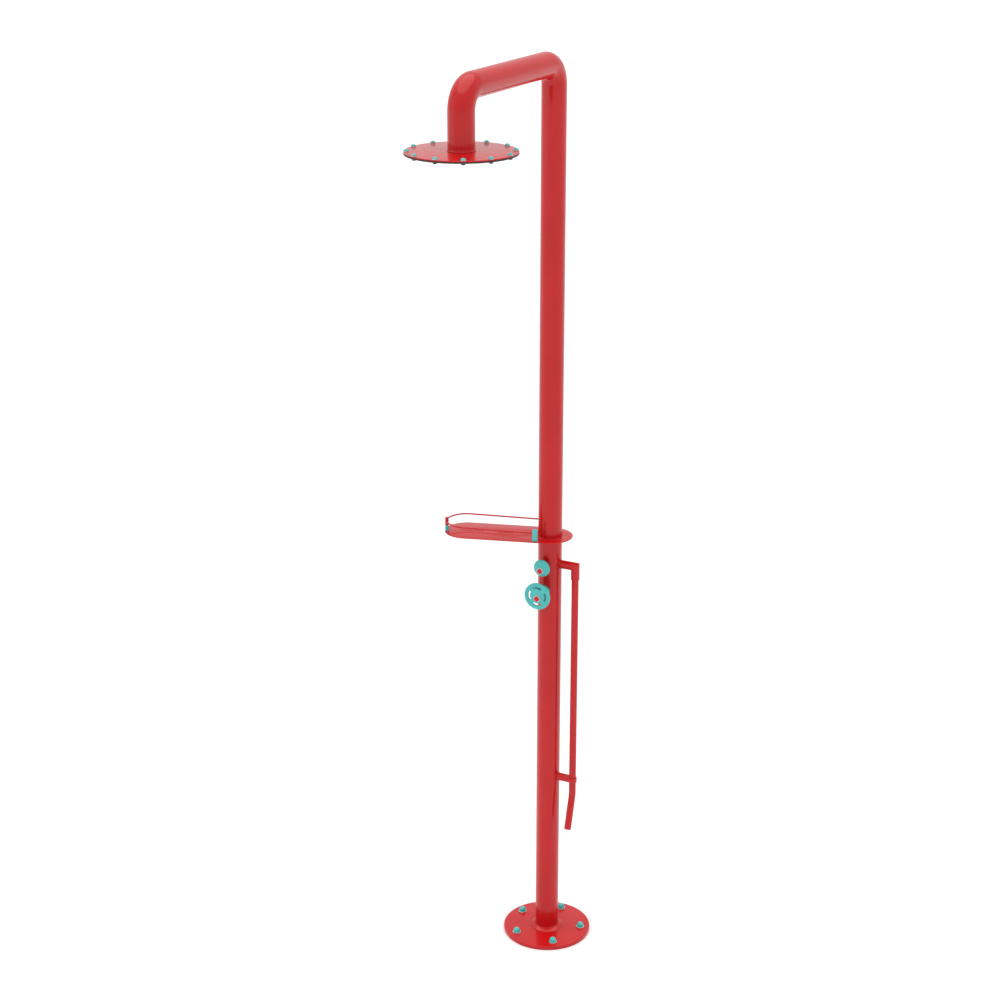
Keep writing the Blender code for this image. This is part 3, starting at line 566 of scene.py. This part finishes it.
# ------------------------------------------------------------------ the head
def build_head():
    reach = -middle_of("drop_pipe").y
    centre = at(0.0, -reach, 0.0)
    screws = ring_places(HEAD_SCREW_CIRCLE, HEAD_SCREWS, -math.pi / 2)
    nozzles = []
    for radius, count in NOZZLE_RINGS:
        nozzles += ring_places(radius, count, 0.0)

    low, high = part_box("head_top_plate")
    radius = (high.x - low.x) / 2
    disc = lathe_mesh("head_disc", fillet([(0.0, high.z), (radius, high.z), (radius, low.z), (0.0, low.z)],
                                          0.9 * MM), 2 * ROUND)
    disc = cut(disc, pins_mesh(screws, HEAD_HOLE, low.z - MM, high.z + MM))
    piece("head_disc", disc, RED, "column", ("head_top_plate",), centre)

    low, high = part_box("head_gasket")
    outer = (high.x - low.x) / 2
    inner = outer - GASKET_WIDTH
    seal = fillet([(outer, high.z), (outer, low.z), (inner, low.z), (inner, high.z)], 0.4 * MM, closed=True)
    piece("head_seal", lathe_mesh("head_seal", seal, 2 * ROUND), RUBBER, "column", ("head_gasket",), centre)

    low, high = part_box("spray_plate")
    face = lathe_mesh("spray_face", fillet([(0.0, high.z), (radius, high.z), (radius, low.z), (0.0, low.z)],
                                           0.5 * MM), 2 * ROUND)
    face = cut(face, pins_mesh(screws, HEAD_HOLE, low.z - MM, high.z + MM))
    face = cut(face, pins_mesh(nozzles, NOZZLE_HOLE, low.z - MM, high.z + MM))
    piece("spray_face", face, DARK, "column", ("spray_plate",), centre)

    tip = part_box("nozzle_mat")[0].z
    stem = fillet([(1.2 * MM, tip + 0.9 * MM, 0.0), (1.7 * MM, tip, 0.3 * MM), (2.5 * MM, tip, 0.7 * MM),
                   (3.0 * MM, high.z, 0.0), (1.2 * MM, high.z, 0.0)], 0.3 * MM, closed=True)
    shared = lathe_mesh("nipple", stem, 24)
    for number, (x, y) in enumerate(nozzles, start=1):
        piece(f"nozzle_{number:02d}", shared.copy(), RUBBER, "column", (), at(x, y - reach, 0.0))

    bottom = low.z
    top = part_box("head_top_plate")[1].z
    for number, (x, y) in enumerate(screws, start=1):
        node = f"head_screw_{number:02d}"
        low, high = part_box(node)
        wide = size_of(node).x / 2
        cap = fillet([(0.0, high.z), (wide * 0.55, high.z - 0.3 * MM, 1.6 * MM),
                      (wide * 0.95, high.z - 2.4 * MM), (wide, top + 0.9 * MM, 0.3 * MM),
                      (HEAD_SHANK, top + 0.9 * MM, 0.0), (HEAD_SHANK, low.z, 0.3 * MM), (0.0, low.z)],
                     0.9 * MM)
        spot = at(x, y - reach, 0.0)
        piece(f"head_cap_{number:02d}", lathe_mesh("head_cap", cap, 32), TEAL, "column", (node,), spot)
        ring_low, ring_high = top + 0.05 * MM, top + 0.85 * MM
        ring = fillet([(HEAD_WASHER_RADIUS, ring_high), (HEAD_WASHER_RADIUS, ring_low),
                       (HEAD_WASHER_BORE, ring_low), (HEAD_WASHER_BORE, ring_high)], 0.25 * MM, closed=True)
        piece(f"head_washer_{number:02d}", lathe_mesh("head_washer", ring, 32), STEEL, "column", (), spot)
        nut = hex_mesh("head_nut", HEAD_NUT_ACROSS, bottom - 3.4 * MM, bottom - 0.1 * MM, 0.0)
        piece(f"head_nut_{number:02d}", nut, DARK, "column", (), spot)


# ----------------------------------------------------------- shelf and guard
def shelf_pose():
    return Matrix.Rotation(SHELF_HEADING, 4, "Z")


def shelf_spot(along, across, height):
    return shelf_pose() @ at(along, across, height)


def arc(centre, radius, start, end, steps):
    angles = [start + (end - start) * i / steps for i in range(steps + 1)]
    return [(centre + radius * math.cos(a), radius * math.sin(a)) for a in angles]


def stadium(near, far, radius, steps):
    """A slot-shaped outline along X, with its round ends centred at near and far."""
    outline = arc(far, radius, -math.pi / 2, math.pi / 2, steps)
    return outline + arc(near, radius, math.pi / 2, 1.5 * math.pi, steps)


def flat_mesh(name, outlines, thickness, edge):
    """A flat plate from closed outlines, with its edges rounded by edge."""
    curve = bpy.data.curves.new(name, "CURVE")
    curve.dimensions = "2D"
    curve.fill_mode = "BOTH"
    curve.extrude = thickness / 2 - edge
    curve.bevel_depth = edge
    curve.bevel_resolution = 3
    curve.offset = -edge
    for outline in outlines:
        spline = curve.splines.new("POLY")
        spline.points.add(len(outline) - 1)
        spline.use_cyclic_u = True
        for place, point in zip(spline.points, outline):
            place.co = (*point, 0.0, 1.0)
    made = bpy.data.objects.new(name, curve)
    bpy.context.scene.collection.objects.link(made)
    return bake(made)


def build_shelf():
    low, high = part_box("shelf_plate")
    thickness = high.z - low.z
    hole = size_of("column_pipe").x / 2 + 0.3 * MM
    outlines = [stadium(0.0, SHELF_REACH, SHELF_HALF_WIDTH, 64), arc(0.0, hole, 0.0, math.tau * 95 / 96, 95)]
    for near, far in DRAIN_SLOTS:
        outlines.append(stadium(near, far, DRAIN_HALF_WIDTH, 12))
    plate = flat_mesh("shelf_top", outlines, thickness, 0.5 * MM)
    piece("shelf_top", plate, RED, "column", ("shelf_plate",), shelf_spot(0.0, 0.0, (low.z + high.z) / 2))
    top = high.z

    low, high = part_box("shelf_collar")
    outer = (high.x - low.x) / 2
    profile = fillet([(outer, high.z, 0.2 * MM), (outer, low.z + 2.0 * MM, 1.5 * MM),
                      (outer - 3 * MM, low.z), (hole, low.z, 0.0), (hole, high.z, 0.0)], 0.8 * MM,
                     closed=True)
    piece("shelf_ring", lathe_mesh("shelf_ring", profile, ROUND), RED, "column", ("shelf_collar",))
    weld_ring("shelf_weld", circle_points((0.0, 0.0, top), hole + 0.3 * MM, 200), 1.1 * MM, "column", 40)

    half = GUARD_HALF_WIDTH
    far = SHELF_REACH + half
    rail_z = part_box("rail_wire")[1].z - WIRE_RADIUS
    route = [(POST_AT, -half)] + arc(SHELF_REACH, half, -math.pi / 2, math.pi / 2, 72) + [(POST_AT, half)]
    slope = WIRE_DROP / (far - LEG_START)
    points = [shelf_pose() @ Vector((u, v, rail_z - slope * (far - u))) for u, v in route]
    wire = sweep_mesh("guard_wire", points, [WIRE_RADIUS] * len(points), 24)
    piece("guard_wire", wire, RED, "column", ("rail_wire",))

    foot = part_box("rail_post_near")[0].z
    tall = size_of("rail_post_near").z
    for place, side in (("near", 1), ("far", -1)):
        name = f"guard_post_{place}"
        mesh = soft_box(name, (POST_LENGTH, POST_WIDTH, tall), 0.9 * MM)
        spot = shelf_spot(POST_AT, side * half, foot + tall / 2)
        piece(name, mesh, TEAL, "column", (f"rail_post_{place}",), spot)
        screw = lathe_mesh("post_screw", fillet([(0.0, 1.1 * MM), (1.6 * MM, 0.9 * MM), (2.1 * MM, 0.0, 0.0),
                                                 (0.0, 0.0)], 0.5 * MM), 24)
        turn = Matrix.Rotation(-side * math.pi / 2, 4, "X")
        face = shelf_spot(POST_AT, side * (half + POST_WIDTH / 2), foot + 7 * MM) @ turn
        piece(f"{name}_screw", screw, TEAL, "column", (), face)

    low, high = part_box("rail_end_ferrule")
    post = shelf_spot(SHELF_REACH, 0.0, 0.0) @ Matrix.Rotation(END_POST_TURN, 4, "Z") @ at(half, 0.0, 0.0)
    wide = FERRULE_RADIUS
    neck = wide - 0.3 * MM
    profile = fillet([(0.0, high.z), (neck, high.z, 0.8 * MM), (neck, high.z - 3 * MM, 0.5 * MM),
                      (wide, high.z - 3.6 * MM, 0.5 * MM), (wide, low.z + 2 * MM, 0.4 * MM),
                      (wide + 0.6 * MM, low.z + 1.4 * MM, 0.4 * MM), (wide + 0.6 * MM, low.z, 0.3 * MM),
                      (0.0, low.z)], 0.5 * MM)
    piece("guard_ferrule", lathe_mesh("guard_ferrule", profile, SMALL_ROUND), TEAL, "column",
          ("rail_end_ferrule",), post)
    low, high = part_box("rail_end_post")
    wide = END_POST_RADIUS
    profile = fillet([(0.0, high.z), (wide, high.z, 2.2 * MM), (wide, low.z, 0.5 * MM), (0.0, low.z)],
                     0.5 * MM)
    piece("guard_post_end", lathe_mesh("guard_post_end", profile, SMALL_ROUND), RED, "column",
          ("rail_end_post",), post)
    profile = fillet([(0.0, 0.9 * MM), (1.5 * MM, 0.9 * MM), (1.5 * MM, -2.5 * MM, 0.0), (0.0, -2.5 * MM)],
                     0.4 * MM)
    screw = lathe_mesh("set_screw", profile, 24)
    outward = Matrix.Rotation(math.pi / 2, 4, "Y")
    piece("guard_set_screw", screw, TEAL, "column", (), post @ at(wide, 0.0, rail_z) @ outward)


# -------------------------------------------------------- valves and handles
def square_mark(name, node, body, sink):
    """The red square on a handle, in its pale bezel, let into the face by sink."""
    low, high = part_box(node)
    side = (high.x - low.x) / math.sqrt(2)
    for label, finish, grow, back, stands_for in (("", RED, 0.0, 0.0, (node,)),
                                                  ("_bezel", STEEL, 2.4 * MM, 0.9 * MM, ())):
        front = low.y + back
        depth = high.y + sink - front
        mesh = soft_box(name + label, (side + grow, side + grow, depth), 0.9 * MM, math.pi / 4)
        spot = at((low.x + high.x) / 2, front + depth / 2, (low.z + high.z) / 2)
        piece(name + label, mesh, finish, body, stands_for, spot @ FRONT)


def spindle_mesh(name, node):
    """A handle's spindle, from the frame's rear end to its front end."""
    low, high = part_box(node)
    return lathe_mesh(name, fillet([(0.0, -low.y), (SPINDLE_RADIUS, -low.y), (SPINDLE_RADIUS, -high.y),
                                    (0.0, -high.y)], 0.5 * MM), 32)


def build_shower_valve():
    height = middle_of("handwheel").z
    pose = at(0.0, 0.0, height) @ FRONT
    low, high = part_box("shower_bonnet")
    column = size_of("column_pipe").x / 2
    front = -low.y
    flange = (high.x - low.x) / 2
    rear = column + 0.45 * MM
    shroud = fillet([(BONNET_BORE, front, 0.0), (flange - 4.0 * MM, front, 3.0 * MM),
                     (flange, front - 1.5 * MM, 1.5 * MM), (flange, front - 5.0 * MM, 1.5 * MM),
                     (BONNET_SHANK + 2.5 * MM, front - 10.0 * MM, 5 * MM),
                     (BONNET_SHANK, front - 18.0 * MM, 6 * MM), (BONNET_SHANK, rear, 0.4 * MM),
                     (BONNET_NECK, rear, 0.0), (BONNET_NECK, column - NECK_DEPTH, 0.0),
                     (BONNET_BORE, column - NECK_DEPTH, 0.0)], 0.8 * MM, closed=True)
    shroud = lathe_mesh("valve_shroud", shroud, ROUND)
    piece("valve_shroud", shroud, TEAL, "column", ("shower_bonnet",), pose)
    low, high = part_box("shower_gland_nut")
    nut = hex_mesh("gland_nut", high.x - low.x, -high.y, -low.y, BONNET_BORE)
    piece("gland_nut", nut, BRASS, "column", ("shower_gland_nut",), pose)
    build_handwheel(pose)
    square_mark("wheel_mark", "handwheel_mark", "handwheel_set", 1.0 * MM)
    rod = spindle_mesh("wheel_spindle", "shower_spindle")
    piece("wheel_spindle", rod, STEEL, "handwheel_set", ("shower_spindle",), pose)


def build_handwheel(pose):
    radius = size_of("handwheel").x / 2
    hub, web_edge, rim_inner = 14.4 * MM, 25.6 * MM, 27.4 * MM
    web_front, web_rear = WHEEL_PLANE + WHEEL_HALF_WEB, WHEEL_PLANE - WHEEL_HALF_WEB
    rim_front, rim_rear = WHEEL_PLANE + WHEEL_HALF_RIM, WHEEL_PLANE - WHEEL_HALF_RIM
    profile = [(HANDLE_BORE, WHEEL_HUB_FRONT, 0.0), (13.6 * MM, WHEEL_HUB_FRONT, 0.9 * MM),
               (hub, web_front, 0.6 * MM), (web_edge, web_front, 1.2 * MM), (rim_inner, rim_front, 1.6 * MM),
               (radius, rim_front, 3.0 * MM), (radius, rim_rear, 3.0 * MM), (rim_inner, rim_rear, 1.6 * MM),
               (web_edge, web_rear, 1.2 * MM), (hub, web_rear, 1.5 * MM),
               (12.5 * MM, WHEEL_HUB_REAR, 1.0 * MM), (HANDLE_BORE, WHEEL_HUB_REAR, 0.0)]
    wheel = lathe_mesh("wheel", fillet(profile, 1.0 * MM, closed=True, steps=6), 2 * ROUND)
    inner, outer = WHEEL_SLOT
    for quarter in range(4):
        first = quarter * math.pi / 2 - WHEEL_SLOT_HALF_SPAN
        last = quarter * math.pi / 2 + WHEEL_SLOT_HALF_SPAN
        outline = arc(0.0, outer, first, last, 20) + arc(0.0, inner, last, first, 20)
        tool = flat_mesh("slot", [outline], 14 * MM, 0.0)
        tool.transform(at(0.0, 0.0, WHEEL_PLANE))
        wheel = cut(wheel, tool)
    wheel.name = "wheel"
    piece("wheel", wheel, TEAL, "handwheel_set", ("handwheel",), pose)


def build_foot_valve():
    height = middle_of("foot_knob").z
    pose = at(0.0, 0.0, height) @ FRONT
    low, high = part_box("foot_knob")
    radius = (high.x - low.x) / 2
    front, rear = -low.y, -high.y
    equator = rear + 3.5 * MM
    dome = [(radius * math.cos(a), equator + (front - equator) * math.sin(a))
            for a in [math.pi / 2 * (1 - i / 24) for i in range(3, 25)]]
    profile = [(HANDLE_BORE, dome[0][1], 0.0)] + [(r, z, 0.0) for r, z in dome]
    profile += [(radius, rear + 1.6 * MM, 1.2 * MM), (radius - 2.0 * MM, rear, 0.9 * MM),
                (HANDLE_BORE, rear, 0.0)]
    piece("knob", lathe_mesh("knob", fillet(profile, 0.0, closed=True), ROUND), TEAL, "knob_set",
          ("foot_knob",), pose)
    square_mark("knob_mark", "foot_knob_mark", "knob_set", 3.5 * MM)
    front = -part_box("foot_bonnet")[0].y
    column = size_of("column_pipe").x / 2
    collar = FOOT_NECK + 0.2 * MM
    neck = fillet([(BONNET_BORE, front, 0.0), (FOOT_NECK - 1.5 * MM, front, 0.8 * MM),
                   (FOOT_NECK, front - 2.0 * MM), (FOOT_NECK, column + 3 * MM, 0.4 * MM),
                   (collar, column + 2.6 * MM, 0.4 * MM), (collar, column - NECK_DEPTH, 0.0),
                   (BONNET_BORE, column - NECK_DEPTH, 0.0)], 0.8 * MM, closed=True)
    piece("knob_neck", lathe_mesh("knob_neck", neck, SMALL_ROUND), TEAL, "column", ("foot_bonnet",), pose)
    rod = spindle_mesh("knob_spindle", "foot_spindle")
    piece("knob_spindle", rod, STEEL, "knob_set", ("foot_spindle",), pose)


# ------------------------------------------------------------------ the pipes
def build_foot_pipe():
    column = size_of("column_pipe").x / 2
    pipe_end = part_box("foot_pipe")[1]
    pipe_x = pipe_end.x - FOOT_PIPE_RADIUS
    outlet_low, outlet_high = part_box("foot_outlet_elbow")
    stub = SOCKET_RADIUS
    height = outlet_high.z - stub
    corners = [Vector((column - 4 * MM, 0.0, height)), Vector((pipe_x, 0.0, height)),
               Vector((pipe_x, 0.0, outlet_low.z))]
    elbow = sweep_mesh("outlet_elbow", corners, [stub] * 3, SMALL_ROUND * 2, [stub - SOCKET_WALL] * 3)
    piece("outlet_elbow", elbow, RED, "column", ("foot_outlet_elbow",))
    mitre = []
    for y, z in ring_places(stub, 160, 0.0):
        mitre.append(Vector((pipe_x + z, y, height + z)))
    weld_ring("outlet_mitre_weld", mitre, 0.35 * MM, "column", 40)
    weld_ring("outlet_weld", saddle_points(column, stub, height, 0.0, 160), 0.7 * MM, "column", 36)

    corners = [(pipe_x, 0.0, pipe_end.z), (pipe_x, 0.0, FOOT_PIPE_KNEE), (pipe_x, *FOOT_PIPE_END)]
    points = rounded_path(corners, FOOT_PIPE_BEND, 16)
    outer = [FOOT_PIPE_RADIUS] * len(points)
    inner = [FOOT_PIPE_RADIUS - FOOT_PIPE_WALL] * len(points)
    pipe = sweep_mesh("side_pipe", points, outer, SMALL_ROUND, inner)
    piece("side_pipe", pipe, RED, "column", ("foot_pipe",))

    bracket_z = middle_of("foot_pipe_bracket").z
    start, stop = column - 3 * MM, pipe_x - 4 * MM
    rod = sweep_mesh("bracket_bar", [Vector((start, 0.0, bracket_z)), Vector((stop, 0.0, bracket_z))],
                     [BRACKET_RADIUS] * 2, SMALL_ROUND * 2)
    profile = fillet([(0.0, BRACKET_HALF_EYE), (BRACKET_EYE, BRACKET_HALF_EYE),
                      (BRACKET_EYE, -BRACKET_HALF_EYE), (0.0, -BRACKET_HALF_EYE)], 1.2 * MM)
    ring = lathe_mesh("bracket_ring", profile, SMALL_ROUND * 2)
    ring.transform(at(pipe_x, 0.0, bracket_z))
    bracket = cut(rod, ring, "UNION")
    bore = pins_mesh([(pipe_x, 0.0)], BRACKET_BORE, bracket_z - 20 * MM, bracket_z + 20 * MM, 64)
    bracket = cut(bracket, bore)
    bracket.name = "pipe_bracket"
    piece("pipe_bracket", bracket, RED, "column", ("foot_pipe_bracket",))
    seam = saddle_points(column, BRACKET_RADIUS, bracket_z, 0.0, 140)
    weld_ring("bracket_weld", seam, 1.0 * MM, "column", 32)


def build_inlet():
    low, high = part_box("inlet_socket")
    height = (low.z + high.z) / 2
    radius = (high.x - low.x) / 2
    bore = radius - INLET_WALL
    column = size_of("column_pipe").x / 2
    thread = []
    for i in range(THREAD_TURNS):
        depth = high.y - i * THREAD_PITCH
        thread += [(bore, depth - 1.2 * MM), (bore + 0.8 * MM, depth - 2.1 * MM)]
    profile = [(radius, high.y, 0.8 * MM), (radius, low.y, 0.0), (bore, low.y, 0.0)]
    profile += [(r, z, 0.15 * MM) for r, z in reversed(thread)]
    profile += [(bore + 0.9 * MM, high.y, 0.3 * MM)]
    back = at(0.0, 0.0, height) @ Matrix.Rotation(-math.pi / 2, 4, "X")
    piece("supply_socket", lathe_mesh("supply_socket", fillet(profile, 0.0, closed=True), SMALL_ROUND * 2),
          STEEL, "column", ("inlet_socket",), back)
    weld_ring("inlet_weld", saddle_points(column, radius, height, math.pi / 2, 140), 1.0 * MM, "column", 36)


# ------------------------------------------------------------ floor and light
def plain_material(name, color, roughness, glow):
    made = bpy.data.materials.new(name)
    made.use_nodes = True
    shader = made.node_tree.nodes["Principled BSDF"]
    shader.inputs["Base Color"].default_value = (*color, 1.0)
    shader.inputs["Roughness"].default_value = roughness
    shader.inputs["Emission Color"].default_value = (1.0, 1.0, 1.0, 1.0)
    shader.inputs["Emission Strength"].default_value = glow
    return made


def build_stage():
    shape = bmesh.new()
    bmesh.ops.create_grid(shape, x_segments=1, y_segments=1, size=FLOOR_SIZE)
    mesh = bpy.data.meshes.new("floor")
    shape.to_mesh(mesh)
    shape.free()
    mesh.materials.append(plain_material("pale_floor", [FLOOR_GREY] * 3, 0.9, FLOOR_GLOW))
    floor = bpy.data.objects.new("floor", mesh)
    floor.location.z = -0.2 * MM
    bpy.context.scene.collection.objects.link(floor)


def area_light(name, place, target, size, power):
    light = bpy.data.lights.new(name, "AREA")
    light.shape = "RECTANGLE"
    light.size, light.size_y = size
    light.energy = power
    made = bpy.data.objects.new(name, light)
    made.location = place
    made.rotation_euler = (Vector(target) - Vector(place)).to_track_quat("-Z", "Y").to_euler()
    bpy.context.scene.collection.objects.link(made)


def build_light():
    world = bpy.data.worlds.new("studio")
    world.use_nodes = True
    background = world.node_tree.nodes["Background"]
    background.inputs["Color"].default_value = (1.0, 1.0, 1.0, 1.0)
    background.inputs["Strength"].default_value = SKY_LIGHT
    scene = bpy.context.scene
    scene.world = world
    area_light("key", KEY_PLACE, KEY_TARGET, KEY_SIZE, KEY_LIGHT)
    overhead = bpy.data.lights.new("overhead", "SUN")
    overhead.energy = OVERHEAD_LIGHT
    overhead.angle = OVERHEAD_SPREAD
    made = bpy.data.objects.new("overhead", overhead)
    made.location.z = 5.0
    scene.collection.objects.link(made)
    scene.view_settings.view_transform = "Standard"
    scene.view_settings.look = "None"


def build_camera():
    lens = bpy.data.cameras.new("camera")
    lens.sensor_width = 36.0
    lens.lens = CAMERA_LENS
    lens.clip_end = 100.0
    camera = bpy.data.objects.new("camera", lens)
    camera.location = CAMERA_PLACE
    camera.rotation_euler = (CAMERA_TILT, 0.0, CAMERA_HEADING)
    bpy.context.scene.collection.objects.link(camera)
    bpy.context.scene.camera = camera


dress_frame()
build_camera()
build_light()
build_stage()
build_column()
build_base()
build_head()
build_shelf()
build_shower_valve()
build_foot_valve()
build_foot_pipe()
build_inlet()
